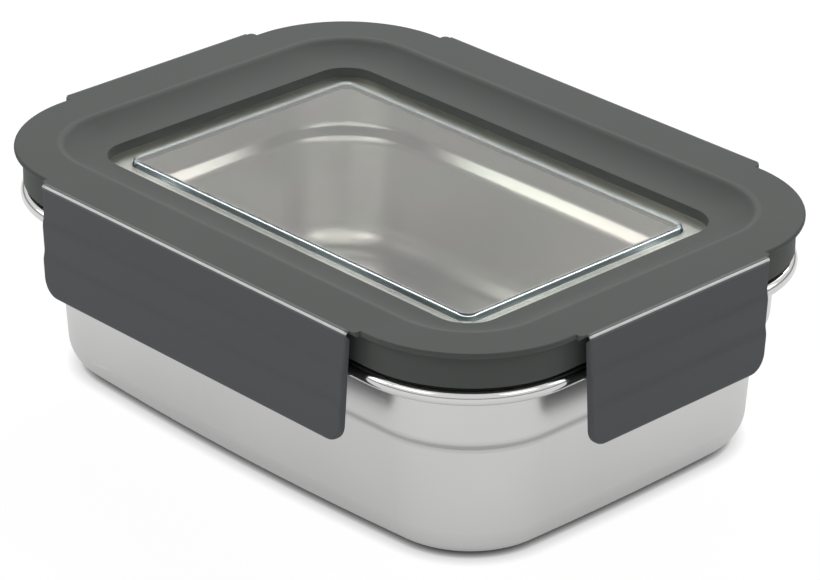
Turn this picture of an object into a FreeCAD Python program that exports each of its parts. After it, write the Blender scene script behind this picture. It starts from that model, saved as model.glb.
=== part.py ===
"""Steel lunch box: drawn tub with a rolled rim, framed lid with a clear window, seal and four hinged latches."""

import FreeCAD, Part
import math
import os
from dataclasses import dataclass
from FreeCAD import Vector

# Lid plan, millimetres
PLATE_LENGTH = 210.0
PLATE_WIDTH = 156.0
PLATE_CORNER_R = 39.0
PLATE_T = 1.6
PLATE_EDGE_R = 0.7

# Tub heights and sheet
RIM_TOP_Z = 58.6
SHEET_T = 0.6
FLOOR_FILLET_R = 10.0

# Tub wall, as insets from the lid plate's outline
MOUTH_INSET = 7.7
SHOULDER_TOP_INSET = 8.0
SHOULDER_LOW_INSET = 10.8
FLOOR_INSET = 11.8
SHOULDER_Z = 37.7
SHOULDER_H = 3.6
SHOULDER_BLEND_R = 2.6
FLOOR_CORNER_R = 28.4
FLOOR_BOW_R = 830.0

# Rolled rim
BEAD_INSET = 1.5
BEAD_R = 2.15
CURL_END_DEG = -140.0
MOUTH_BEND_R = 2.6
COLLAR_H = 3.6

# Lid frame walls, as insets from the plate's outline
SKIRT_GAP = 1.0
SKIRT_H = 9.8
SKIRT_INSET = 2.4
SKIRT_T = 1.8
SKIRT_EDGE_R = 0.5
SEAT_RIB_INSET = 6.6
SEAT_RIB_T = 1.6
SEAT_RIB_EDGE_R = 0.3
PLUG_T = 1.6
PLUG_REACH = 4.1
PLUG_CLEARANCE = 0.8

# Dished border round the window
BORDER_WIDTH = 14.0
BORDER_BLEND_R = 2.0
DISH_RUN = 13.4
DISH_DROP = 4.4
DISH_T = 3.0
LIP_CORNER_R = 10.5

# Clear window
WINDOW_SEAT = 6.0
WINDOW_CLEARANCE = 0.15
WINDOW_RIB_T = 1.5
FLANGE_T = 1.6
PLATEAU_MARGIN = 6.9
PLATEAU_RISE = 1.9
PLATEAU_CORNER_R = 4.0
PLATEAU_WALL = 1.0
PLATEAU_DRAFT = 0.6
PLATEAU_EDGE_R = 0.8
POCKET_EDGE_R = 0.4

# Seal
SEAL_SIDE_CLEARANCE = 0.15
SEAL_LIFT = 0.2
SEAL_LIP_H = 0.8
SEAL_LIP_W = 1.6
SEAL_LIP_INSET = 5.6
SEAL_BODY_H = 3.4

# Living hinges
HINGE_OUT = 2.2
WEB_T = 0.5
WEB_INNER_R = 0.5
WEB_STUB = 0.4
TONGUE_LUG = 2.0
TONGUE_CORNER_R = 1.4

# Latches
LONG_LATCH = 126.0
SHORT_LATCH = 70.4
LATCH_H = 32.4
LATCH_T = 1.7
LATCH_LEAN = 1.0
LATCH_DRAFT = 1.0
LATCH_CORNER_R = 5.5
LATCH_EDGE_R = 0.7
RIDGE_DEPTHS = (8.4, 18.9)
RIDGE_H = 0.45
RIDGE_RISE = 2.3
RIDGE_FALL = 7.4
RIDGE_BLEND_R = 5.0
HOOK_CLEARANCE = 0.3
HOOK_BITE = 1.7
HOOK_TIP_H = 1.0
HOOK_ROOT_H = 3.4
HOOK_END_GAP = 6.0

# Derived heights
SKIRT_BOTTOM_Z = RIM_TOP_Z + SKIRT_GAP
PLATE_UNDER_Z = SKIRT_BOTTOM_Z + SKIRT_H
LID_TOP_Z = PLATE_UNDER_Z + PLATE_T
SEAL_BODY_Z = RIM_TOP_Z + SEAL_LIFT + SEAL_LIP_H
SEAL_TOP_Z = SEAL_BODY_Z + SEAL_BODY_H
COLLAR_Z = RIM_TOP_Z - COLLAR_H
SHOULDER_LOW_Z = SHOULDER_Z - SHOULDER_H / 2
SHOULDER_TOP_Z = SHOULDER_Z + SHOULDER_H / 2
LIP_TOP_Z = LID_TOP_Z - DISH_DROP
LIP_UNDER_Z = LIP_TOP_Z - DISH_T
BEAD_Z = RIM_TOP_Z - BEAD_R
BEAD_BOTTOM_Z = BEAD_Z - BEAD_R
WEB_OUTER_R = WEB_INNER_R + WEB_T
HINGE_Z = LID_TOP_Z - WEB_OUTER_R
LATCH_TOP_Z = HINGE_Z - WEB_STUB
LATCH_BOTTOM_Z = LATCH_TOP_Z - LATCH_H

# Derived insets
PLUG_INSET = MOUTH_INSET + SHEET_T + PLUG_CLEARANCE
LIP_INSET = BORDER_WIDTH + DISH_RUN
DISH_R = (DISH_RUN ** 2 + DISH_DROP ** 2) / (2.0 * DISH_DROP)

# Shared by the drawing helpers
UP = Vector(0, 0, 1)
CUT_ROOM = 5.0
LEVEL_TOL = 1e-4
FACE_TOL = 1e-3
LEAST_CORNER_R = 0.2
WALL_EDGE_SHARE = 0.45
CORNER_SHARE = 0.9


@dataclass(frozen=True)
class Outline:
    """A rounded rectangle about the origin, given by its half sizes, corner radius and its sides' curvature."""

    half_x: float
    half_y: float
    corner_r: float
    bow: float = 0.0

    def inset(self, distance):
        """The parallel outline this far inside, or outside for a negative distance."""
        return Outline(self.half_x - distance, self.half_y - distance, max(self.corner_r - distance, LEAST_CORNER_R),
                       self.bow / (1.0 - self.bow * distance))

    def corner(self):
        """The first corner's centre and the angles by which the sides beside it turn in at their ends.

        The centre is where two circles meet: about each bowed side's own centre, with the side's radius less the
        corner's.
        """
        if not self.bow:
            return self.half_x - self.corner_r, self.half_y - self.corner_r, 0.0, 0.0
        side_r = 1.0 / self.bow
        back_x = side_r - self.half_x
        back_y = side_r - self.half_y
        ratio = back_y / back_x
        shift = (back_y ** 2 + back_x ** 2) / (2.0 * back_x)
        square = 1.0 + ratio ** 2
        root = math.sqrt(square * (side_r - self.corner_r) ** 2 - shift ** 2)
        y = (root - ratio * shift) / square
        x = ratio * y + shift - back_x
        return x, y, math.degrees(math.atan2(y, x + back_x)), math.degrees(math.atan2(x, y + back_y))

    def wire(self, z):
        """The closed wire of four sides and four corner arcs at height z."""
        x, y, end_x, end_y = self.corner()
        corners = [
            (x, y, end_x, 90.0 - end_y),
            (-x, y, 90.0 + end_y, 180.0 - end_x),
            (-x, -y, 180.0 + end_x, 270.0 - end_y),
            (x, -y, 270.0 + end_y, 360.0 - end_x),
        ]
        middles = [(0, self.half_y), (-self.half_x, 0), (0, -self.half_y), (self.half_x, 0)]
        arcs = [[polar(Vector(cx, cy, z), self.corner_r, a) for a in (start, (start + end) / 2, end)]
                for cx, cy, start, end in corners]
        edges = []
        for index, points in enumerate(arcs):
            edges.append(Part.Arc(*points).toShape())
            ends = (points[2], arcs[(index + 1) % 4][0])
            if self.bow:
                edges.append(Part.Arc(ends[0], Vector(*middles[index], z), ends[1]).toShape())
            else:
                edges.append(line(*ends))
        return Part.Wire(edges)

    def prism(self, low, high):
        """The solid between two heights."""
        return Part.Face(self.wire(low)).extrude(Vector(0, 0, high - low))

    def ring(self, face):
        """Sweeps a face round a straight-sided outline. Its x starts at the corner's centre and its y is height."""
        cx = self.half_x - self.corner_r
        cy = self.half_y - self.corner_r
        upright = face.copy()
        upright.rotate(Vector(0, 0, 0), Vector(1, 0, 0), 90)
        pieces = []
        for turn, along, across in ((0, cy, cx), (90, cx, cy), (180, cy, cx), (270, cx, cy)):
            corner = upright.revolve(Vector(0, 0, 0), UP, 90)
            corner.translate(Vector(across, along, 0))
            side = upright.extrude(Vector(0, 2 * along, 0))
            side.translate(Vector(across, -along, 0))
            for piece in (corner, side):
                piece.rotate(Vector(0, 0, 0), UP, turn)
                pieces.append(piece)
        return join(pieces)


PLATE = Outline(PLATE_LENGTH / 2, PLATE_WIDTH / 2, PLATE_CORNER_R)
LIP = Outline(PLATE.half_x - LIP_INSET, PLATE.half_y - LIP_INSET, LIP_CORNER_R)
BORDER_EDGE = LIP.inset(-DISH_RUN)


@dataclass(frozen=True)
class Side:
    """One side of the lid that carries a latch."""

    name: str
    turn: float
    reach: float
    length: float

    def place(self, shape):
        """Moves a shape built outward along +X from the plate's edge to this side."""
        placed = shape.copy()
        placed.translate(Vector(self.reach, 0, 0))
        placed.rotate(Vector(0, 0, 0), UP, self.turn)
        return placed


SIDES = (
    Side("right", 0.0, PLATE.half_x, SHORT_LATCH),
    Side("back", 90.0, PLATE.half_y, LONG_LATCH),
    Side("left", 180.0, PLATE.half_x, SHORT_LATCH),
    Side("front", 270.0, PLATE.half_y, LONG_LATCH),
)


def join(pieces):
    """Fuses touching solids and merges the faces that run on."""
    return pieces[0].multiFuse(pieces[1:]).removeSplitter()


def polar(centre, radius, degrees):
    """The point at an angle round a centre, level with it."""
    angle = math.radians(degrees)
    return Vector(centre.x + radius * math.cos(angle), centre.y + radius * math.sin(angle), centre.z)


def arc(centre, radius, start, end):
    """An arc edge about a centre in the profile plane, between two angles."""
    ends = [polar(centre, radius, a) for a in (start, (start + end) / 2, end)]
    return Part.Arc(*ends).toShape()


def line(start, end):
    """A straight edge."""
    return Part.LineSegment(start, end).toShape()


def chain(*points):
    """Straight edges through points."""
    return [line(a, b) for a, b in zip(points, points[1:])]


def polygon(*points):
    """A face with straight sides through (x, y) points."""
    vectors = [Vector(x, y, 0) for x, y in points]
    return Part.Face(Part.Wire(chain(*vectors, vectors[0])))


def wall_ring(outline, thickness, low, high, edge_r):
    """An upright wall just inside an outline, with its lower edges rounded."""
    wall = outline.prism(low, high).cut(outline.inset(thickness).prism(low - CUT_ROOM, high + CUT_ROOM))
    radius = min(edge_r, WALL_EDGE_SHARE * thickness)
    return wall.makeFillet(radius, edges_at(wall, low))


def edges_at(shape, z):
    """The edges that lie level at height z."""
    return [e for e in shape.Edges if max(abs(e.BoundBox.ZMin - z), abs(e.BoundBox.ZMax - z)) < LEVEL_TOL]


def tub_outline(z):
    """The outside of the tub's wall at height z: two drafted stretches with a shoulder between, bowed at the floor."""
    stations = (
        (0.0, FLOOR_INSET),
        (SHOULDER_LOW_Z, SHOULDER_LOW_INSET),
        (SHOULDER_TOP_Z, SHOULDER_TOP_INSET),
        (COLLAR_Z, MOUTH_INSET),
    )
    for (z0, inset0), (z1, inset1) in zip(stations, stations[1:]):
        if z <= z1:
            break
    inset = inset0 + (inset1 - inset0) * (z - z0) / (z1 - z0)
    mouth_r = PLATE_CORNER_R - MOUTH_INSET
    corner_r = FLOOR_CORNER_R + (mouth_r - FLOOR_CORNER_R) * z / COLLAR_Z
    bow = (1.0 - z / COLLAR_Z) / FLOOR_BOW_R
    return Outline(PLATE.half_x - inset, PLATE.half_y - inset, corner_r, bow)


def tub_block(offset, floor_z):
    """The solid inside the tub's outline, moved in by an offset, with its floor edge and shoulder rounded."""
    heights = (floor_z, SHOULDER_LOW_Z, SHOULDER_TOP_Z, COLLAR_Z)
    blocks = []
    for low, high in zip(heights, heights[1:]):
        wires = [tub_outline(z).inset(offset).wire(z) for z in (low, high)]
        blocks.append(Part.makeLoft(wires, True, True))
    block = join(blocks)
    block = block.makeFillet(FLOOR_FILLET_R - offset, edges_at(block, floor_z))
    block = block.makeFillet(SHOULDER_BLEND_R + offset, edges_at(block, SHOULDER_LOW_Z))
    return block.makeFillet(SHOULDER_BLEND_R - offset, edges_at(block, SHOULDER_TOP_Z))


def rim_face():
    """The rolled rim's section: a collar on the wall, the bend, the flat flange and the open outer curl."""
    mouth = PLATE_CORNER_R - MOUTH_INSET
    bend = Vector(mouth - SHEET_T + MOUTH_BEND_R, RIM_TOP_Z - MOUTH_BEND_R, 0)
    bead = Vector(PLATE_CORNER_R - BEAD_INSET - BEAD_R, BEAD_Z, 0)
    bead_inner_r = BEAD_R - SHEET_T
    bend_inner_r = MOUTH_BEND_R - SHEET_T
    edges = chain(Vector(mouth, COLLAR_Z, 0), Vector(mouth - SHEET_T, COLLAR_Z, 0),
                  polar(bend, MOUTH_BEND_R, 180.0))
    edges.append(arc(bend, MOUTH_BEND_R, 180.0, 90.0))
    edges += chain(polar(bend, MOUTH_BEND_R, 90.0), polar(bead, BEAD_R, 90.0))
    edges.append(arc(bead, BEAD_R, 90.0, CURL_END_DEG))
    edges += chain(polar(bead, BEAD_R, CURL_END_DEG), polar(bead, bead_inner_r, CURL_END_DEG))
    edges.append(arc(bead, bead_inner_r, CURL_END_DEG, 90.0))
    edges += chain(polar(bead, bead_inner_r, 90.0), polar(bend, bend_inner_r, 90.0))
    edges.append(arc(bend, bend_inner_r, 90.0, 180.0))
    edges += chain(polar(bend, bend_inner_r, 180.0), Vector(mouth, COLLAR_Z, 0))
    return Part.Face(Part.Wire(edges))


def steel_tub():
    """The drawn tub with its shoulder and rolled rim, one sheet all over."""
    shell = tub_block(0.0, 0.0).cut(tub_block(SHEET_T, SHEET_T))
    return join([shell, PLATE.ring(rim_face())])


def dish_height(run, offset):
    """Height of the dish's arc at a distance outward from the lip, lowered by an offset along its normal."""
    radius = DISH_R + offset
    return LIP_TOP_Z + DISH_R - math.sqrt(radius ** 2 - run ** 2)


def dish_wall_face():
    """The section of the dished wall with the flat window seat and its locating rib under the lip."""
    r = LIP_CORNER_R
    centre = Vector(r, LIP_TOP_Z + DISH_R, 0)
    rib_in = WINDOW_SEAT
    rib_out = WINDOW_SEAT + WINDOW_RIB_T
    rib_z = LIP_UNDER_Z - FLANGE_T - WINDOW_CLEARANCE
    under_r = DISH_R + DISH_T
    under_run = math.sqrt(under_r ** 2 - (centre.y - PLATE_UNDER_Z) ** 2)
    start = math.degrees(math.atan2(dish_height(rib_out, DISH_T) - centre.y, rib_out))
    end = math.degrees(math.atan2(PLATE_UNDER_Z - centre.y, under_run))
    top_end = math.degrees(math.atan2(LID_TOP_Z - centre.y, DISH_RUN))
    edges = chain(Vector(r, LIP_TOP_Z, 0), Vector(r, LIP_UNDER_Z, 0), Vector(r + rib_in, LIP_UNDER_Z, 0),
                  Vector(r + rib_in, rib_z, 0), Vector(r + rib_out, rib_z, 0), polar(centre, under_r, start))
    edges.append(arc(centre, under_r, start, end))
    edges += chain(polar(centre, under_r, end), polar(centre, DISH_R, top_end))
    edges.append(arc(centre, DISH_R, top_end, -90.0))
    return Part.Face(Part.Wire(edges))


def dish_hollow():
    """The open space of the dish and the window opening, for cutting."""
    centre = Vector(LIP_CORNER_R, LIP_TOP_Z + DISH_R, 0)
    top_end = math.degrees(math.atan2(LID_TOP_Z - centre.y, DISH_RUN))
    edge = polar(centre, DISH_R, top_end)
    roof = LID_TOP_Z + CUT_ROOM
    edges = [arc(centre, DISH_R, -90.0, top_end)]
    edges += chain(edge, Vector(edge.x, roof, 0), Vector(LIP_CORNER_R, roof, 0), Vector(LIP_CORNER_R, LIP_TOP_Z, 0))
    rim = LIP.ring(Part.Face(Part.Wire(edges)))
    return rim.fuse(LIP.prism(SKIRT_BOTTOM_Z, roof)).removeSplitter()


def across(face, length):
    """Extrudes a face drawn as (outward, height) evenly along a side."""
    solid = face.extrude(Vector(0, 0, length))
    solid.rotate(Vector(0, 0, 0), Vector(1, 0, 0), 90)
    solid.translate(Vector(0, length / 2, 0))
    return solid


def tongue(side):
    """The strip of plate that reaches out to a hinge web, thinned under its end, with rounded lugs."""
    out = HINGE_OUT - WEB_STUB
    length = side.length + 2 * TONGUE_LUG
    web_z = LID_TOP_Z - WEB_T
    slope = web_z - PLATE_UNDER_Z
    root = -SKIRT_INSET
    section = polygon((root, LID_TOP_Z), (out, LID_TOP_Z), (out, web_z), (out - slope, PLATE_UNDER_Z),
                      (root, PLATE_UNDER_Z))
    plan = Outline(out, length / 2, min(TONGUE_CORNER_R, CORNER_SHARE * out))
    return across(section, length).common(plan.prism(PLATE_UNDER_Z, LID_TOP_Z))


def lid_frame():
    """The dark lid moulding: border plate, dish, window seat, skirt, seal seat rib, plug wall and hinge tongues."""
    plate = PLATE.prism(PLATE_UNDER_Z, LID_TOP_Z)
    edges = edges_at(plate, PLATE_UNDER_Z) + edges_at(plate, LID_TOP_Z)
    plate = plate.makeFillet(min(PLATE_EDGE_R, WALL_EDGE_SHARE * PLATE_T), edges)
    walls = [
        wall_ring(PLATE.inset(SKIRT_INSET), SKIRT_T, SKIRT_BOTTOM_Z, PLATE_UNDER_Z, SKIRT_EDGE_R),
        wall_ring(PLATE.inset(SEAT_RIB_INSET), SEAT_RIB_T, SEAL_TOP_Z, PLATE_UNDER_Z, SEAT_RIB_EDGE_R),
        wall_ring(PLATE.inset(PLUG_INSET), PLUG_T, RIM_TOP_Z - PLUG_REACH, PLATE_UNDER_Z, SKIRT_EDGE_R),
    ]
    tongues = [side.place(tongue(side)) for side in SIDES]
    body = join([plate, LIP.ring(dish_wall_face())] + walls + tongues)
    body = body.cut(dish_hollow()).removeSplitter()
    crease = [e for e in edges_at(body, LID_TOP_Z) if on_border_edge(e)]
    return body.makeFillet(BORDER_BLEND_R, crease)


def middle_of(edge):
    """The point half way along an edge."""
    return edge.valueAt((edge.FirstParameter + edge.LastParameter) / 2)


def on_border_edge(edge):
    """Whether a level edge lies on the border's inner outline."""
    middle = middle_of(edge)
    inside_x = abs(middle.x) < BORDER_EDGE.half_x + FACE_TOL
    return inside_x and abs(middle.y) < BORDER_EDGE.half_y + FACE_TOL


def plateau_block(offset, low, high, edge_r):
    """The solid inside the window's drafted plateau walls, moved in by an offset, with its top edge rounded."""
    base = Outline(LIP.half_x - PLATEAU_MARGIN, LIP.half_y - PLATEAU_MARGIN, PLATEAU_CORNER_R)
    draft = PLATEAU_DRAFT / PLATEAU_RISE
    wires = [base.inset(offset + draft * (z - LIP_UNDER_Z)).wire(z) for z in (low, high)]
    block = Part.makeLoft(wires, True, True)
    return block.makeFillet(edge_r, edges_at(block, high))


def lid_window():
    """The clear panel: a flange under the lip and a raised plateau that is hollow underneath."""
    flange = LIP.inset(WINDOW_CLEARANCE - WINDOW_SEAT)
    low = LIP_UNDER_Z - FLANGE_T
    top = LIP_UNDER_Z + PLATEAU_RISE
    raised = plateau_block(0.0, LIP_UNDER_Z, top, min(PLATEAU_EDGE_R, WALL_EDGE_SHARE * PLATEAU_RISE))
    pocket = plateau_block(PLATEAU_WALL, low - CUT_ROOM, top - PLATEAU_WALL, POCKET_EDGE_R)
    return join([flange.prism(low, LIP_UNDER_Z), raised]).cut(pocket)


def lid_seal():
    """The silicone ring in the channel between skirt and plug, with one sealing lip over the rim."""
    outer = PLATE.inset(SKIRT_INSET + SKIRT_T + SEAL_SIDE_CLEARANCE)
    inner = PLATE.inset(PLUG_INSET - SEAL_SIDE_CLEARANCE)
    body = outer.prism(SEAL_BODY_Z, SEAL_TOP_Z).cut(inner.prism(SEAL_BODY_Z - CUT_ROOM, SEAL_TOP_Z + CUT_ROOM))
    lip = wall_ring(PLATE.inset(SEAL_LIP_INSET - SEAL_LIP_W / 2), SEAL_LIP_W, SEAL_BODY_Z - SEAL_LIP_H,
                    SEAL_BODY_Z, SEAL_LIP_W / 3)
    return join([body, lip])


def rounded_chain(points, radius):
    """Straight edges through (x, y) points with each corner between them rounded by a tangent arc."""
    vectors = [Vector(x, y, 0) for x, y in points]
    edges = []
    start = vectors[0]
    for before, corner, after in zip(vectors, vectors[1:], vectors[2:]):
        into = (corner - before).normalize()
        out = (after - corner).normalize()
        half_turn = into.getAngle(out) / 2
        reach = radius * math.tan(half_turn)
        inward = (out - into).normalize()
        centre_gap = radius / math.cos(half_turn) - radius
        first = corner - into * reach
        last = corner + out * reach
        edges.append(line(start, first))
        edges.append(Part.Arc(first, corner + inward * centre_gap, last).toShape())
        start = last
    edges.append(line(start, vectors[-1]))
    return edges


def latch_face(outer):
    """The outer side of a latch's section, from its top to its lower edge, with two soft grip ridges."""
    lean = LATCH_LEAN / LATCH_H
    marks = [(0.0, 0.0)]
    for depth in RIDGE_DEPTHS:
        marks += [(depth, 0.0), (depth + RIDGE_RISE, RIDGE_H), (depth + RIDGE_RISE + RIDGE_FALL, 0.0)]
    marks.append((LATCH_H, 0.0))
    points = [(outer + lean * depth + proud, LATCH_TOP_Z - depth) for depth, proud in marks]
    return rounded_chain(points, RIDGE_BLEND_R)


def latch_section():
    """A latch's section as (outward, height): ridged outside, plain inside, chamfered down to the hinge web."""
    outer = HINGE_OUT + WEB_OUTER_R
    inner = outer - LATCH_T
    face = latch_face(outer)
    top = Vector(outer, LATCH_TOP_Z, 0)
    low = Vector(outer + LATCH_LEAN, LATCH_BOTTOM_Z, 0)
    back = chain(low, Vector(inner + LATCH_LEAN, LATCH_BOTTOM_Z, 0),
                 Vector(inner, LATCH_TOP_Z - LATCH_T + WEB_T, 0), Vector(outer - WEB_T, LATCH_TOP_Z, 0), top)
    return Part.Face(Part.Wire(face + back))


def latch(side):
    """A flap with drafted ends, rounded lower corners, grip ridges and a hook rib for the rim's bead."""
    reach = HINGE_OUT + WEB_OUTER_R + LATCH_LEAN + RIDGE_H + CUT_ROOM
    half = side.length / 2
    low_half = half - LATCH_DRAFT
    shape = polygon((-half, LATCH_TOP_Z), (half, LATCH_TOP_Z), (low_half, LATCH_BOTTOM_Z),
                    (-low_half, LATCH_BOTTOM_Z)).extrude(Vector(0, 0, reach))
    corners = [e for e in shape.Edges
               if abs(e.BoundBox.YMax - LATCH_BOTTOM_Z) < LEVEL_TOL and e.BoundBox.ZLength > CUT_ROOM]
    shape = shape.makeFillet(LATCH_CORNER_R, corners)
    shape.rotate(Vector(0, 0, 0), Vector(1, 1, 1), 120)
    flap = across(latch_section(), side.length).common(shape)
    rim = [e for e in flap.Edges if on_latch_rim(e, half)]
    flap = flap.makeFillet(min(LATCH_EDGE_R, WALL_EDGE_SHARE * LATCH_T), rim)
    return join([flap, hook(side)])


def on_latch_rim(edge, half):
    """Whether an edge bounds a latch's outer face at its ends, lower corners or lower side."""
    middle = middle_of(edge)
    depth = LATCH_TOP_Z - middle.z
    plain_face = HINGE_OUT + WEB_OUTER_R + LATCH_LEAN * depth / LATCH_H
    if middle.x < plain_face - FACE_TOL or depth < FACE_TOL:
        return False
    at_end = abs(middle.y) > half - LATCH_DRAFT - LATCH_CORNER_R
    return at_end or depth > LATCH_H - FACE_TOL


def hook(side):
    """The rib inside a latch that reaches under the rim's bead."""
    top = BEAD_BOTTOM_Z - HOOK_CLEARANCE
    tip = -BEAD_INSET - HOOK_BITE
    root = HINGE_OUT + WEB_OUTER_R - LATCH_T / 2
    section = polygon((root, top), (tip, top), (tip, top - HOOK_TIP_H), (root, top - HOOK_ROOT_H))
    return across(section, side.length - 2 * HOOK_END_GAP)


def hinge_web(side):
    """The thin bent strip between a tongue and its latch, round the hinge's axis."""
    axis = Vector(HINGE_OUT, HINGE_Z, 0)
    edges = chain(Vector(HINGE_OUT, HINGE_Z + WEB_INNER_R, 0), Vector(HINGE_OUT - WEB_STUB, HINGE_Z + WEB_INNER_R, 0),
                  Vector(HINGE_OUT - WEB_STUB, LID_TOP_Z, 0), Vector(HINGE_OUT, LID_TOP_Z, 0))
    edges.append(arc(axis, WEB_OUTER_R, 90.0, 0.0))
    edges += chain(polar(axis, WEB_OUTER_R, 0.0), Vector(HINGE_OUT + WEB_OUTER_R, LATCH_TOP_Z, 0),
                   Vector(HINGE_OUT + WEB_INNER_R, LATCH_TOP_Z, 0), polar(axis, WEB_INNER_R, 0.0))
    edges.append(arc(axis, WEB_INNER_R, 0.0, 90.0))
    return across(Part.Face(Part.Wire(edges)), side.length)


def main():
    """Builds every piece and writes one file for each."""
    os.makedirs("parts", exist_ok=True)
    pieces = {
        "steel_tub": steel_tub(),
        "lid_frame": lid_frame(),
        "lid_window": lid_window(),
        "lid_seal": lid_seal(),
    }
    for side in SIDES:
        pieces[side.name + "_latch"] = side.place(latch(side))
        pieces[side.name + "_hinge_web"] = side.place(hinge_web(side))
    for name, shape in pieces.items():
        solid = shape.Solids[0] if len(shape.Solids) == 1 else shape
        solid.exportStep("parts/" + name + ".step")
        print(name, "solids", len(shape.Solids), "valid", shape.isValid(), "volume", round(shape.Volume, 1))


main()
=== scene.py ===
"""Steel lunch box with a framed lid: finishes, bent hinge strips, studio and camera about the solids."""

import logging
import math
from dataclasses import dataclass
from enum import Enum
from typing import Any, Union

import bpy
import numpy as np
from mathutils import Matrix, Vector


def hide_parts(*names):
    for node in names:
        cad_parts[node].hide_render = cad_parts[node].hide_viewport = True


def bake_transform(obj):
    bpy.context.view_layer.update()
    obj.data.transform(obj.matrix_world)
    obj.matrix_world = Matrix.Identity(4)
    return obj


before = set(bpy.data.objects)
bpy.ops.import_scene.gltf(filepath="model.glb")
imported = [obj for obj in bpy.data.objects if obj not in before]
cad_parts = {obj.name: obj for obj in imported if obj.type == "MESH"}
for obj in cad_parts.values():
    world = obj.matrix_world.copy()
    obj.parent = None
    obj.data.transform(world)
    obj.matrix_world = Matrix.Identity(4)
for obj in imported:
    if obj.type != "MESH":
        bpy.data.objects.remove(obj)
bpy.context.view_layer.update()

LOG = logging.getLogger("lunch_box")
MM = 0.001
IMAGE_WIDTH = 820
IMAGE_HEIGHT = 580
WHITE = (1.0, 1.0, 1.0)
NOISE_MIDDLE = 0.5
SINGLE_LAYER = 1.0

# Sockets of the Mix node, which shares one list between its kinds
MIX_SHARE = 0
MIX_VECTOR_FIRST, MIX_VECTOR_SECOND, MIX_VECTOR_OUT = 4, 5, 1
MIX_COLOUR_FIRST, MIX_COLOUR_SECOND, MIX_COLOUR_OUT = 6, 7, 2

Colour = tuple[float, float, float]
Triple = tuple[float, float, float]
Number = Union[float, "Field"]
Numbers = Union[float, np.ndarray]


def compass(azimuth: float, elevation: float) -> np.ndarray:
    """The unit vector towards a compass angle and a height, both in degrees."""
    turn, lift = math.radians(azimuth), math.radians(elevation)
    return np.array([math.sin(turn) * math.cos(lift), -math.cos(turn) * math.cos(lift), math.sin(lift)])


class Field:
    """A number that changes over a surface: a node's socket with arithmetic that adds Math nodes."""

    def __init__(self, tree: "Tree", socket: bpy.types.NodeSocket) -> None:
        """Wraps a socket of a tree.

        Args:
            tree: the node tree that the socket belongs to.
            socket: an output socket that gives one number.
        """
        self.tree = tree
        self.socket = socket

    def _math(self, operation: str, first: Number, second: Number = 0.0) -> "Field":
        """Adds one Math node.

        Args:
            operation: the node's operation.
            first: its first number.
            second: its second number.

        Returns:
            The node's result.
        """
        node = self.tree.add("ShaderNodeMath", {"operation": operation}, {0: first, 1: second})
        return Field(self.tree, node.outputs[0])

    def __add__(self, other: Number) -> "Field":
        """Sum."""
        return self._math("ADD", self, other)

    __radd__ = __add__

    def __sub__(self, other: Number) -> "Field":
        """Difference."""
        return self._math("SUBTRACT", self, other)

    def __rsub__(self, other: float) -> "Field":
        """Difference with the number on the left."""
        return self._math("SUBTRACT", other, self)

    def __mul__(self, other: Number) -> "Field":
        """Product."""
        return self._math("MULTIPLY", self, other)

    def __abs__(self) -> "Field":
        """Size without sign."""
        return self._math("ABSOLUTE", self)

    def __pow__(self, power: float) -> "Field":
        """Power."""
        return self._math("POWER", self, power)

    def at_least(self, other: Number) -> "Field":
        """The larger of two numbers."""
        return self._math("MAXIMUM", self, other)

    def at_most(self, other: Number) -> "Field":
        """The smaller of two numbers."""
        return self._math("MINIMUM", self, other)

    def rise(self, low: float, high: float) -> "Field":
        """A smooth step from 0 at low to 1 at high, which may lie either way round.

        Args:
            low: the value that gives 0.
            high: the value that gives 1.

        Returns:
            The stepped number.
        """
        node = self.tree.add("ShaderNodeMapRange", {"interpolation_type": "SMOOTHSTEP"},
                             {"Value": self, "From Min": low, "From Max": high})
        return Field(self.tree, node.outputs[0])

    def band(self, middle: float, half: float, soft: float) -> "Field":
        """1 within half of a middle value, falling to 0 over a soft edge.

        Args:
            middle: the centre of the band.
            half: half its full width.
            soft: the width of each fading edge.

        Returns:
            The band as a mask.
        """
        return abs(self - middle).rise(half + soft, half)


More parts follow.
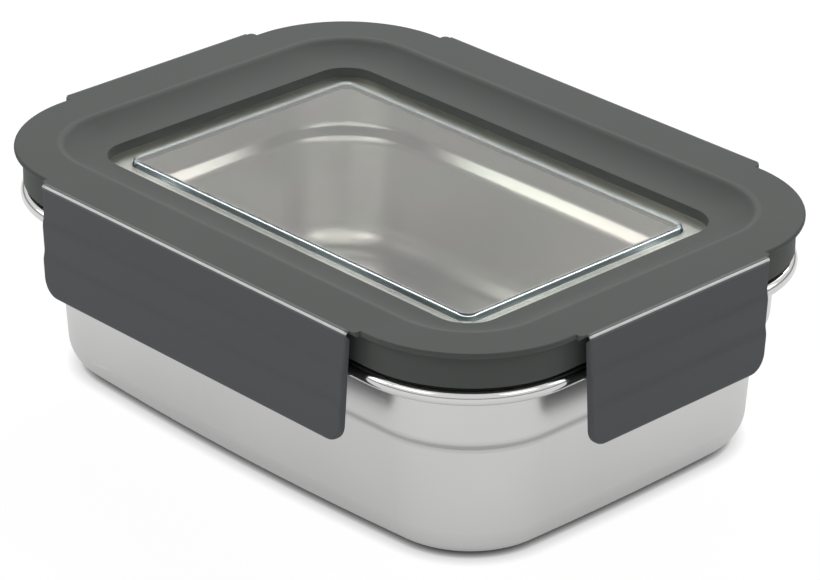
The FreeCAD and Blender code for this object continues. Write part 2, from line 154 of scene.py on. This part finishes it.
class Tree:
    """One node tree, of a material or of the world, with short ways to add nodes."""

    def __init__(self, owner: Union[str, bpy.types.World]) -> None:
        """Empties a tree to start with.

        Args:
            owner: a new material's name, or the world.
        """
        self.owner = bpy.data.materials.new(owner) if isinstance(owner, str) else owner
        self.owner.use_nodes = True
        self.nodes = self.owner.node_tree.nodes
        self.links = self.owner.node_tree.links
        self.nodes.clear()

    def add(self, kind: str, settings: dict[str, Any] | None = None,
            inputs: dict[str | int, Any] | None = None) -> bpy.types.Node:
        """Adds a node.

        Args:
            kind: the node's type.
            settings: its properties, set first.
            inputs: values, fields or sockets for its inputs.

        Returns:
            The node.
        """
        node = self.nodes.new(kind)
        for name, value in (settings or {}).items():
            setattr(node, name, value)
        for name, value in (inputs or {}).items():
            self.feed(node.inputs[name], value)
        return node

    def feed(self, socket: bpy.types.NodeSocket, value: Any) -> None:
        """Links or sets one input.

        Args:
            socket: the input.
            value: a field, an output socket or a plain value.
        """
        if isinstance(value, Field):
            value = value.socket
        if isinstance(value, bpy.types.NodeSocket):
            self.links.new(value, socket)
        elif socket.type == "RGBA" and len(value) == 3:
            socket.default_value = (*value, 1.0)
        else:
            socket.default_value = value

    def place(self) -> bpy.types.NodeSocket:
        """The point on the piece in the object's own frame, in metres."""
        return self.add("ShaderNodeTexCoord").outputs["Object"]

    def split(self, vector: bpy.types.NodeSocket) -> tuple[Field, Field, Field]:
        """The three parts of a vector as fields."""
        node = self.add("ShaderNodeSeparateXYZ", None, {0: vector})
        return tuple(Field(self, socket) for socket in node.outputs)

    def attribute(self, name: str) -> Field:
        """A number stored on the piece's own mesh."""
        return Field(self, self.add("ShaderNodeAttribute", {"attribute_name": name}).outputs["Fac"])

    def noise(self, vector: bpy.types.NodeSocket, per_metre: Triple, detail: float = 2.0) -> Field:
        """Soft noise around 0.5.

        Args:
            vector: where it is read.
            per_metre: its steps per metre along x, y and z.
            detail: how many finer layers are added.

        Returns:
            The noise.
        """
        spread = self.add("ShaderNodeMapping", None, {"Vector": vector, "Scale": per_metre})
        node = self.add("ShaderNodeTexNoise", None,
                        {"Vector": spread.outputs[0], "Scale": 1.0, "Detail": detail})
        return Field(self, node.outputs[0])

    def mix(self, share: Number, first: Any, second: Any) -> bpy.types.NodeSocket:
        """A colour between two colours.

        Args:
            share: 0 for the first and 1 for the second.
            first: a colour or a colour socket.
            second: a colour or a colour socket.

        Returns:
            The mixed colour's socket.
        """
        inputs = {MIX_SHARE: share, MIX_COLOUR_FIRST: first, MIX_COLOUR_SECOND: second}
        return self.add("ShaderNodeMix", {"data_type": "RGBA"}, inputs).outputs[MIX_COLOUR_OUT]

    def steady_normal(self, apart: float, alike: float) -> bpy.types.NodeSocket:
        """The smoothed normal, giving way to the facet's own normal where the two point apart.

        Args:
            apart: the cosine between the two at which only the facet's own counts.
            alike: the cosine at which only the smoothed one counts.

        Returns:
            The normal's socket.
        """
        shape = self.add("ShaderNodeNewGeometry")
        smooth, facet = shape.outputs["Normal"], shape.outputs["True Normal"]
        cosine = self.add("ShaderNodeVectorMath", {"operation": "DOT_PRODUCT"}, {0: smooth, 1: facet})
        share = Field(self, cosine.outputs["Value"]).rise(alike, apart)
        inputs = {MIX_SHARE: share, MIX_VECTOR_FIRST: smooth, MIX_VECTOR_SECOND: facet}
        return self.add("ShaderNodeMix", {"data_type": "VECTOR"}, inputs).outputs[MIX_VECTOR_OUT]

    def bump(self, height: Field, depth: float,
             normal: bpy.types.NodeSocket | None = None) -> bpy.types.NodeSocket:
        """A normal bent by a height field.

        Args:
            height: relief from 0 to 1.
            depth: what 1 stands for, in metres.
            normal: the normal to bend, where it is not the surface's own.

        Returns:
            The normal's socket.
        """
        inputs = {"Strength": 1.0, "Distance": depth, "Height": height}
        if normal is not None:
            inputs["Normal"] = normal
        return self.add("ShaderNodeBump", None, inputs).outputs[0]

    def surface(self, inputs: dict[str, Any]) -> bpy.types.NodeSocket:
        """Adds the main shader and returns its socket."""
        return self.add("ShaderNodeBsdfPrincipled", None, inputs).outputs[0]

    def finish(self, shader: bpy.types.NodeSocket) -> bpy.types.Material:
        """Joins a shader to the output and returns the material."""
        self.add("ShaderNodeOutputMaterial", None, {"Surface": shader})
        return self.owner


@dataclass(frozen=True)
class Outline:
    """A rounded rectangle about the origin, in metres."""

    half_x: float
    half_y: float
    corner_r: float

    def inset(self, distance: float) -> "Outline":
        """The parallel outline this far inside."""
        return Outline(self.half_x - distance, self.half_y - distance, self.corner_r - distance)

    def depth(self, x: Field, y: Field) -> Field:
        """How far a point lies inside the outline, and negative outside it.

        With q = |p| - (half - r), that is r - |max(q, 0)| - min(max(q.x, q.y), 0).

        Args:
            x: the point's x.
            y: the point's y.

        Returns:
            The distance in metres.
        """
        over_x = abs(x) - (self.half_x - self.corner_r)
        over_y = abs(y) - (self.half_y - self.corner_r)
        out_x = over_x.at_least(0.0)
        out_y = over_y.at_least(0.0)
        reach = (out_x * out_x + out_y * out_y) ** 0.5
        inner = over_x.at_least(over_y).at_most(0.0)
        return self.corner_r - reach - inner


PLATE = Outline(105.0 * MM, 78.0 * MM, 39.0 * MM)
LIP = Outline(77.6 * MM, 50.6 * MM, 10.5 * MM)
PLATEAU = Outline(70.7 * MM, 43.7 * MM, 4.0 * MM)
BORDER_EDGE = LIP.inset(-13.4 * MM)
LID_TOP = 71.0 * MM
LATCH_LOW = 37.2 * MM
FLANGE_TOP = 63.6 * MM
LONG_LATCH = 126.0 * MM
SHORT_LATCH = 70.4 * MM


class Side(Enum):
    """The four sides that carry a latch."""

    FRONT = ("front", (0.0, -1.0), PLATE.half_y, LONG_LATCH)
    BACK = ("back", (0.0, 1.0), PLATE.half_y, LONG_LATCH)
    LEFT = ("left", (-1.0, 0.0), PLATE.half_x, SHORT_LATCH)
    RIGHT = ("right", (1.0, 0.0), PLATE.half_x, SHORT_LATCH)

    def __init__(self, label: str, facing: tuple[float, float], reach: float, length: float) -> None:
        """Names a side's measures.

        Args:
            label: its word in the names of pieces.
            facing: the direction that it faces, as x and y.
            reach: how far the lid plate's edge is from the origin.
            length: the latch's length along it.
        """
        self.label = label
        self.facing = facing
        self.reach = reach
        self.length = length

    def point(self, out: Numbers, along: Numbers, height: Numbers) -> np.ndarray:
        """Places side coordinates in the part's frame.

        Args:
            out: distances outward from the lid plate's edge.
            along: distances along the side, counter-clockwise seen from above.
            height: heights.

        Returns:
            The points, with x, y and z in the last axis.
        """
        out_x, out_y = self.facing
        reach = self.reach + np.asarray(out)
        x = reach * out_x - np.asarray(along) * out_y
        y = reach * out_y + np.asarray(along) * out_x
        return np.stack(np.broadcast_arrays(x, y, height), axis=-1)


@dataclass(frozen=True)
class SteelFinish:
    """Drawn stainless sheet: satin walls with a faint grain and a polished rim."""

    light: Colour = (0.65, 0.647, 0.64)
    dark: Colour = (0.60, 0.598, 0.595)
    satin: float = 0.31
    polish: float = 0.13
    polish_from: float = 53.4 * MM
    polish_full: float = 54.4 * MM
    grain_along: float = 45.0
    grain_across: float = 1500.0
    grain_depth: float = 0.0008 * MM
    grain_rough: float = 0.08
    cloud: float = 22.0
    cloud_detail: float = 4.0
    cloud_start: float = 0.3
    cloud_gain: float = 1.6
    cloud_rough: float = 0.05
    apart: float = 0.90
    alike: float = 0.97

    def material(self) -> bpy.types.Material:
        """Builds the material.

        Returns:
            The material.
        """
        tree = Tree("satin_steel")
        place = tree.place()
        _, _, z = tree.split(place)
        along, across = self.grain_along, self.grain_across
        wall_grain = tree.noise(place, (along, along, across))
        floor_grain = tree.noise(place, (along, across, along))
        cloud = tree.noise(place, (self.cloud,) * 3, self.cloud_detail)
        polished = z.rise(self.polish_from, self.polish_full)
        grain = (wall_grain + floor_grain) * 0.5
        tone = tree.mix((cloud - self.cloud_start) * self.cloud_gain, self.dark, self.light)
        rough = self.satin + (grain - NOISE_MIDDLE) * self.grain_rough
        rough = rough + (cloud - NOISE_MIDDLE) * self.cloud_rough
        rough = rough + polished * (self.polish - rough)
        relief = grain * (1.0 - polished)
        normal = tree.bump(relief, self.grain_depth, tree.steady_normal(self.apart, self.alike))
        return tree.finish(tree.surface({
            "Base Color": tone, "Metallic": 1.0, "Roughness": rough, "Normal": normal,
        }))


@dataclass(frozen=True)
class PlasticFinish:
    """Dark grey moulded plastic with a fine eroded texture, paler along exposed edges: partly worn, partly
    a painted highlight.
    """

    name: str
    base: Colour = (0.116, 0.124, 0.118)
    worn_sheen_colour: Colour = (0.165, 0.172, 0.167)
    rough: float = 0.6
    specular: float = 0.10
    texture: float = 5200.0
    texture_depth: float = 0.006 * MM
    texture_rough: float = 0.1
    cloud: float = 30.0
    cloud_detail: float = 3.0
    cloud_gain: float = 0.35
    cloud_rough: float = 0.12
    tone_spread: float = 0.07
    worn_sheen_least: float = 0.35
    worn_sheen_gain: float = 0.6
    crease_band: Triple = (0.0, 0.5 * MM, 0.9 * MM)
    crease_below: tuple[float, float] = (1.4 * MM, 0.4 * MM)
    edge_above: tuple[float, float] = (1.3 * MM, 0.3 * MM)

    def worn_sheen_mask(self, x: Field, y: Field, z: Field) -> Field:
        """How much paler the surface is, partly worn and partly a painted highlight: along the border's
        inner edge and the latches' lower edges.

        Args:
            x: the point's x.
            y: the point's y.
            z: the point's height.

        Returns:
            A mask from 0 to 1.
        """
        border = BORDER_EDGE.depth(x, y).band(*self.crease_band)
        border = border * z.rise(*(LID_TOP - drop for drop in self.crease_below))
        return border.at_least(z.rise(*(LATCH_LOW + lift for lift in self.edge_above)))

    def material(self) -> bpy.types.Material:
        """Builds the material.

        Returns:
            The material.
        """
        tree = Tree(self.name)
        place = tree.place()
        x, y, z = tree.split(place)
        fine = tree.noise(place, (self.texture,) * 3, SINGLE_LAYER)
        cloud = tree.noise(place, (self.cloud,) * 3, self.cloud_detail)
        # Paler edges: partly worn, partly a painted highlight where the rounded edges catch the light.
        worn_sheen = self.worn_sheen_mask(x, y, z) * (self.worn_sheen_least + cloud * self.worn_sheen_gain)
        darker, paler = (tuple(c * (1.0 + spread) for c in self.base)
                         for spread in (-self.tone_spread, self.tone_spread))
        tone = tree.mix((cloud - NOISE_MIDDLE) * self.cloud_gain + 0.5, darker, paler)
        tone = tree.mix(worn_sheen, tone, self.worn_sheen_colour)
        rough = self.rough + (cloud - NOISE_MIDDLE) * self.cloud_rough
        rough = rough + (fine - NOISE_MIDDLE) * self.texture_rough
        return tree.finish(tree.surface({
            "Base Color": tone, "Roughness": rough, "Normal": tree.bump(fine, self.texture_depth),
            "Specular IOR Level": self.specular,
        }))


@dataclass(frozen=True)
class ClearFinish:
    """Clear moulded plastic that lets lamps through, faintly frosted outside the plateau."""

    tint: Colour = (0.965, 0.985, 0.915)
    strained: Colour = (0.995, 0.958, 0.920)
    wall_tint: Colour = (0.58, 0.70, 0.77)
    rough: float = 0.025
    wall_rough: float = 0.22
    flange_rough: float = 0.17
    refraction: float = 1.49
    ripple: float = 26.0
    ripple_depth: float = 0.02 * MM
    strain: float = 34.0
    strain_steps: tuple[float, float] = (0.4, 0.6)
    wall_band: Triple = (0.5 * MM, 0.7 * MM, 0.4 * MM)
    wall_foot: float = 0.2 * MM
    flange_soft: float = 0.5 * MM

    def material(self) -> bpy.types.Material:
        """Builds the material.

        Returns:
            The material.
        """
        tree = Tree("clear_plastic_window")
        place = tree.place()
        x, y, z = tree.split(place)
        ripple = tree.noise(place, (self.ripple,) * 3, SINGLE_LAYER)
        strain = tree.noise(place, (self.strain,) * 3, SINGLE_LAYER).rise(*self.strain_steps)
        depth = PLATEAU.depth(x, y)
        wall = depth.band(*self.wall_band) * z.rise(FLANGE_TOP - self.wall_foot, FLANGE_TOP)
        flange = depth.rise(0.0, -self.flange_soft)
        rough = self.rough + wall * (self.wall_rough - self.rough)
        rough = rough + flange * (self.flange_rough - self.rough)
        tint = tree.mix(wall, tree.mix(strain, self.tint, self.strained), self.wall_tint)
        clear = tree.surface({
            "Base Color": tint, "Roughness": rough, "IOR": self.refraction,
            "Transmission Weight": 1.0, "Normal": tree.bump(ripple, self.ripple_depth),
        })
        passing = tree.add("ShaderNodeBsdfTransparent", None, {"Color": self.tint}).outputs[0]
        shadow = tree.add("ShaderNodeLightPath").outputs["Is Shadow Ray"]
        shader = tree.add("ShaderNodeMixShader", None, {0: shadow, 1: clear, 2: passing})
        return tree.finish(shader.outputs[0])


@dataclass(frozen=True)
class SealFinish:
    """Dark matte silicone."""

    base: Colour = (0.030, 0.031, 0.032)
    rough: float = 0.6
    paler: float = 1.5
    cloud: float = 40.0
    texture: float = 2600.0
    texture_rough: float = 0.2
    texture_depth: float = 0.008 * MM

    def material(self) -> bpy.types.Material:
        """Builds the material.

        Returns:
            The material.
        """
        tree = Tree("dark_silicone")
        place = tree.place()
        fine = tree.noise(place, (self.texture,) * 3, SINGLE_LAYER)
        cloud = tree.noise(place, (self.cloud,) * 3)
        tone = tree.mix(cloud, self.base, tuple(c * self.paler for c in self.base))
        return tree.finish(tree.surface({
            "Base Color": tone, "Roughness": self.rough + (fine - NOISE_MIDDLE) * self.texture_rough,
            "Normal": tree.bump(fine, self.texture_depth),
        }))


@dataclass(frozen=True)
class HingeFinish:
    """The bent strip of grey plastic, whitened where it bends most: partly strain whitening, partly a
    painted highlight along the fold.
    """

    base: Colour = (0.128, 0.135, 0.132)
    white: Colour = (0.97, 0.98, 0.98)
    from_share: float = 0.35
    to_share: float = 0.76
    soft: float = 0.06
    rough: float = 0.75
    strained_rough: float = 0.22
    specular: float = 0.8
    streak: float = 260.0
    streak_detail: float = 3.0
    streak_least: float = 0.82
    streak_gain: float = 0.3
    streak_depth: float = 0.01 * MM

    def material(self) -> bpy.types.Material:
        """Builds the material.

        Returns:
            The material.
        """
        tree = Tree("hinge_strain_white_and_highlight")
        place = tree.place()
        bend = tree.attribute("bend")
        streak = tree.noise(place, (self.streak,) * 3, self.streak_detail)
        start = bend.rise(self.from_share, self.from_share + self.soft)
        stop = bend.rise(self.to_share + self.soft, self.to_share)
        bent = start * stop
        # This whitening stands partly for strain and partly for a painted highlight on the fold.
        strain = bent * (self.streak_least + streak * self.streak_gain).at_most(1.0)
        rough = self.rough + bent * (self.strained_rough - self.rough)
        return tree.finish(tree.surface({
            "Base Color": tree.mix(strain, self.base, self.white), "Roughness": rough,
            "Normal": tree.bump(streak, self.streak_depth), "Specular IOR Level": self.specular,
        }))


def grid_faces(rows: int, columns: int, wrap: bool) -> np.ndarray:
    """Quads over a grid of points that are numbered row by row.

    Args:
        rows: points along the first parameter.
        columns: points along the second parameter.
        wrap: whether the last column joins the first.

    Returns:
        An array of four point numbers for each face.
    """
    steps = columns if wrap else columns - 1
    row, column = np.meshgrid(np.arange(rows - 1), np.arange(steps), indexing="ij")
    next_column = (column + 1) % columns
    corners = [row * columns + column, (row + 1) * columns + column,
               (row + 1) * columns + next_column, row * columns + next_column]
    return np.stack(corners, axis=-1).reshape(-1, 4)


def new_piece(name: str, points: np.ndarray, faces: list[np.ndarray], material: bpy.types.Material,
              smooth: bool = True) -> bpy.types.Object:
    """Puts worked-out points into a mesh object at the origin.

    Args:
        name: the piece's name.
        points: an array of points, x, y and z in the last axis.
        faces: arrays of point numbers, one row for each face.
        material: the piece's finish.
        smooth: whether faces are shaded smooth.

    Returns:
        The object, linked to the scene.
    """
    mesh = bpy.data.meshes.new(name)
    mesh.from_pydata(points.reshape(-1, 3), [], [face.tolist() for block in faces for face in block])
    mesh.polygons.foreach_set("use_smooth", np.full(len(mesh.polygons), smooth))
    mesh.materials.append(material)
    mesh.update()
    piece = bpy.data.objects.new(name, mesh)
    bpy.context.scene.collection.objects.link(piece)
    return piece


def dress(node: str, material: bpy.types.Material) -> None:
    """Gives a carried-over solid its finish.

    Args:
        node: the solid's name.
        material: the finish.
    """
    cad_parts[node].material_slots[0].material = material
    LOG.info("dressed %s in %s", node, material.name)


@dataclass
class Tub:
    """The drawn steel tub."""

    finish: SteelFinish = SteelFinish()

    def build(self) -> None:
        """Dresses the tub."""
        dress("steel_tub", self.finish.material())


@dataclass
class Lid:
    """The framed lid: grey moulding, clear window and seal."""

    plastic: PlasticFinish = PlasticFinish("grey_moulded_lid")
    clear: ClearFinish = ClearFinish()
    seal: SealFinish = SealFinish()

    def build(self) -> None:
        """Dresses the lid's pieces."""
        dress("lid_frame", self.plastic.material())
        dress("lid_window", self.clear.material())
        dress("lid_seal", self.seal.material())


@dataclass
class Latches:
    """The four latches and the living hinges that they swing on."""

    axis_out: float = 2.2 * MM
    axis_z: float = 70.0 * MM
    outer_r: float = 1.0 * MM
    inner_r: float = 0.5 * MM
    stub: float = 0.4 * MM
    arc_steps: int = 14
    length_steps: int = 64
    # The latches take a lighter, bluer copy of the lid's grey: painted light for how their upright faces
    # are lit.
    plastic: PlasticFinish = PlasticFinish("latch_grey_painted_lit_tint", (0.136, 0.143, 0.150))
    hinge: HingeFinish = HingeFinish()

    def strip(self, radius: float) -> np.ndarray:
        """One side of the bent strip's section: a level stub, a quarter turn and an upright stub.

        Args:
            radius: the turn's radius.

        Returns:
            The section's points as (outward, height), from the lid to the latch.
        """
        turn = np.linspace(math.pi / 2, 0.0, self.arc_steps)
        out = self.axis_out + radius * np.cos(turn)
        height = self.axis_z + radius * np.sin(turn)
        out = np.concatenate([[self.axis_out - self.stub], out, [self.axis_out + radius]])
        height = np.concatenate([[self.axis_z + radius], height, [self.axis_z - self.stub]])
        return np.stack([out, height], axis=-1)

    def web(self, side: Side, material: bpy.types.Material) -> None:
        """Builds one hinge strip as a closed section carried along the side, bending between lid and latch.

        Args:
            side: the side that it is on.
            material: its finish.
        """
        outer = self.strip(self.outer_r)
        inner = self.strip(self.inner_r)[::-1]
        section = np.concatenate([outer, inner])
        share = np.concatenate([np.linspace(0.0, 1.0, len(outer)), np.linspace(1.0, 0.0, len(inner))])
        along = np.linspace(side.length / 2, -side.length / 2, self.length_steps)
        points = side.point(section[None, :, 0], along[:, None], section[None, :, 1])
        rows, columns = len(along), len(section)
        sides = grid_faces(rows, columns, True)
        first = np.arange(len(outer) - 1)
        cap = np.stack([first, first + 1, columns - 2 - first, columns - 1 - first], axis=-1)
        far_cap = cap[:, ::-1] + (rows - 1) * columns
        piece = new_piece(side.label + "_hinge_bend", points, [sides, cap, far_cap], material)
        bend = piece.data.attributes.new("bend", "FLOAT", "POINT")
        bend.data.foreach_set("value", np.tile(share, rows).astype(np.float32))
        middle_r = (self.outer_r + self.inner_r) / 2
        start = side.point(self.axis_out - self.stub, 0.0, self.axis_z + middle_r)
        end = side.point(self.axis_out + middle_r, 0.0, self.axis_z - self.stub)
        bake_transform(piece)
        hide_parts(side.label + "_hinge_web")
        LOG.info("built %s with %d faces", piece.name, len(piece.data.polygons))

    def build(self) -> None:
        """Dresses the latches and builds their hinge strips."""
        plastic = self.plastic.material()
        hinge = self.hinge.material()
        for side in Side:
            dress(side.label + "_latch", plastic)
            self.web(side, hinge)


@dataclass(frozen=True)
class SoftBox:
    """One broad lamp that faces the box from a compass direction and a height."""

    name: str
    azimuth: float
    elevation: float
    distance: float
    width: float
    height: float
    watts: float
    mirrored: bool = True

    def place(self, target: Vector) -> None:
        """Hangs the lamp, facing a target.

        Args:
            target: the point that it faces.
        """
        away = Vector(compass(self.azimuth, self.elevation))
        data = bpy.data.lights.new(self.name, "AREA")
        data.shape = "RECTANGLE"
        data.size = self.width
        data.size_y = self.height
        data.energy = self.watts
        lamp = bpy.data.objects.new(self.name, data)
        lamp.location = target + away * self.distance
        lamp.rotation_euler = away.to_track_quat("Z", "Y").to_euler()
        lamp.visible_glossy = self.mirrored
        bpy.context.scene.collection.objects.link(lamp)


@dataclass
class Studio:
    """A white floor and surround, a lamp behind, soft boxes round the front, a low fill and the camera."""

    floor_half: float = 12.0
    floor_drop: float = 0.05 * MM
    floor_seen: float = 0.945
    floor_shaded: Colour = (0.12, 0.12, 0.12)
    floor_light: Colour = (0.85, 0.85, 0.85)
    contact_reach: float = 5.0 * MM
    contact_power: float = 0.42
    touch_reach: float = 2.1 * MM
    touch_power: float = 1.0
    shade_reach: float = 150.0 * MM
    shade_power: float = 0.45
    surround: float = 0.06
    gap_height: Triple = (0.12, 0.05, 0.09)
    gap_depth: float = 0.7
    shade_samples: int = 8
    lamps: tuple[SoftBox, ...] = (
        SoftBox("back_lamp", azimuth=212.0, elevation=46.0, distance=0.9,
                width=1.0, height=0.38, watts=5.2),
        SoftBox("left_soft_box", azimuth=-46.0, elevation=30.0, distance=1.1,
                width=0.85, height=0.5, watts=2.4),
        SoftBox("right_soft_box", azimuth=137.0, elevation=31.0, distance=1.1,
                width=0.55, height=0.42, watts=1.5),
        SoftBox("front_left_box", azimuth=0.0, elevation=43.0, distance=1.15,
                width=0.5, height=0.36, watts=1.0),
        SoftBox("front_right_box", azimuth=93.0, elevation=43.0, distance=1.15,
                width=0.45, height=0.36, watts=0.75),
        SoftBox("front_fill", azimuth=46.0, elevation=9.0, distance=1.5,
                width=1.6, height=0.5, watts=3.4, mirrored=False),
    )
    azimuth: float = 46.12
    elevation: float = 26.08
    distance: float = 1155.41 * MM
    target: Triple = (0.0, 0.0, 35.0 * MM)
    focal_px: float = 3997.53
    centre_px: tuple[float, float] = (402.21, 286.10)
    roll: float = 0.63
    sensor: float = 36.0

    def seen(self, tree: Tree) -> Field:
        """Marks the rays that show a surface: from the camera, off gloss or through something clear.

        Args:
            tree: the tree that asks.

        Returns:
            1 for such rays and 0 for the others.
        """
        path = tree.add("ShaderNodeLightPath")
        names = ("Is Camera Ray", "Is Glossy Ray", "Is Transmission Ray")
        camera, glossy, through = (Field(tree, path.outputs[name]) for name in names)
        return camera.at_least(glossy).at_least(through)

    def open_share(self, tree: Tree, reach: float, power: float) -> Field:
        """How open the space above the floor is, from 0 to 1.

        Args:
            tree: the floor's tree.
            reach: how far away something still darkens the floor.
            power: how strongly it does.

        Returns:
            The share.
        """
        node = tree.add("ShaderNodeAmbientOcclusion", {"samples": self.shade_samples}, {"Distance": reach})
        return Field(tree, node.outputs["AO"]) ** power

    def floor(self) -> None:
        """Lays the floor: a level square that glows white, with a painted contact shadow by the box and a
        wider painted shade seen in gloss.
        """
        tree = Tree("studio_floor")
        painted_contact_shadow = self.open_share(tree, self.contact_reach, self.contact_power)
        painted_contact_shadow = painted_contact_shadow * self.open_share(tree, self.touch_reach, self.touch_power)
        painted_gloss_shade = self.open_share(tree, self.shade_reach, self.shade_power)
        camera = Field(tree, tree.add("ShaderNodeLightPath").outputs["Is Camera Ray"])
        # The glow is darkened by occlusion: a painted contact shadow seen from the camera, a wider painted
        # shade in reflections.
        strength = (painted_gloss_shade + camera * (painted_contact_shadow - painted_gloss_shade)) * self.floor_seen
        glow = tree.add("ShaderNodeEmission", None, {"Color": WHITE, "Strength": strength})
        shaded = tree.add("ShaderNodeBsdfDiffuse", None, {"Color": self.floor_shaded})
        white = tree.add("ShaderNodeAddShader", None, {0: glow.outputs[0], 1: shaded.outputs[0]})
        plain = tree.add("ShaderNodeBsdfDiffuse", None, {"Color": self.floor_light})
        shader = tree.add("ShaderNodeMixShader", None,
                          {0: self.seen(tree), 1: plain.outputs[0], 2: white.outputs[0]})
        edge = np.array([-self.floor_half, self.floor_half])
        x, y = np.meshgrid(edge, edge, indexing="ij")
        points = np.stack([x, y, np.full_like(x, -self.floor_drop)], axis=-1)
        faces = grid_faces(len(edge), len(edge), False)
        piece = new_piece("studio_floor", points, [faces], tree.finish(shader.outputs[0]), False)

    def world(self) -> None:
        """Sets the surround: white where it is seen, with a dim gap in gloss, and faint light elsewhere."""
        world = bpy.data.worlds.new("studio")
        bpy.context.scene.world = world
        tree = Tree(world)
        _, _, z = tree.split(tree.add("ShaderNodeTexCoord").outputs["Generated"])
        glossy = Field(tree, tree.add("ShaderNodeLightPath").outputs["Is Glossy Ray"])
        gap = z.band(*self.gap_height) * glossy
        strength = self.surround + self.seen(tree) * (1.0 - self.surround) - gap * self.gap_depth
        light = tree.add("ShaderNodeBackground", None, {"Color": WHITE, "Strength": strength})
        tree.add("ShaderNodeOutputWorld", None, {"Surface": light.outputs[0]})

    def camera(self) -> None:
        """Sets the camera at the photograph's viewing angle, with its centre and small roll."""
        turn, roll = math.radians(self.azimuth), math.radians(self.roll)
        back = compass(self.azimuth, self.elevation)
        level = np.array([math.cos(turn), math.sin(turn), 0.0])
        up = np.cross(back, level)
        right = math.cos(roll) * level + math.sin(roll) * up
        upright = math.cos(roll) * up - math.sin(roll) * level
        data = bpy.data.cameras.new("camera")
        data.sensor_width = self.sensor
        data.lens = self.focal_px * self.sensor / IMAGE_WIDTH
        data.shift_x = (IMAGE_WIDTH / 2 - self.centre_px[0]) / IMAGE_WIDTH
        data.shift_y = (self.centre_px[1] - IMAGE_HEIGHT / 2) / IMAGE_WIDTH
        camera = bpy.data.objects.new("camera", data)
        place = Matrix.Identity(4)
        for column, axis in enumerate((right, upright, back)):
            for row in range(3):
                place[row][column] = axis[row]
        place.translation = Vector(self.target) + Vector(back) * self.distance
        camera.matrix_world = place
        bpy.context.scene.collection.objects.link(camera)
        bpy.context.scene.camera = camera

    def build(self) -> None:
        """Builds the studio."""
        self.floor()
        self.world()
        for lamp in self.lamps:
            lamp.place(Vector(self.target))
        self.camera()
        bpy.context.scene.view_settings.view_transform = "Standard"


def main() -> None:
    """Builds every sub-assembly in order and reports each piece."""
    logging.basicConfig(level=logging.INFO, format="%(name)s: %(message)s")
    for assembly in (Tub(), Lid(), Latches(), Studio()):
        assembly.build()
        LOG.info("finished %s", type(assembly).__name__)


if __name__ == "__main__":
    main()
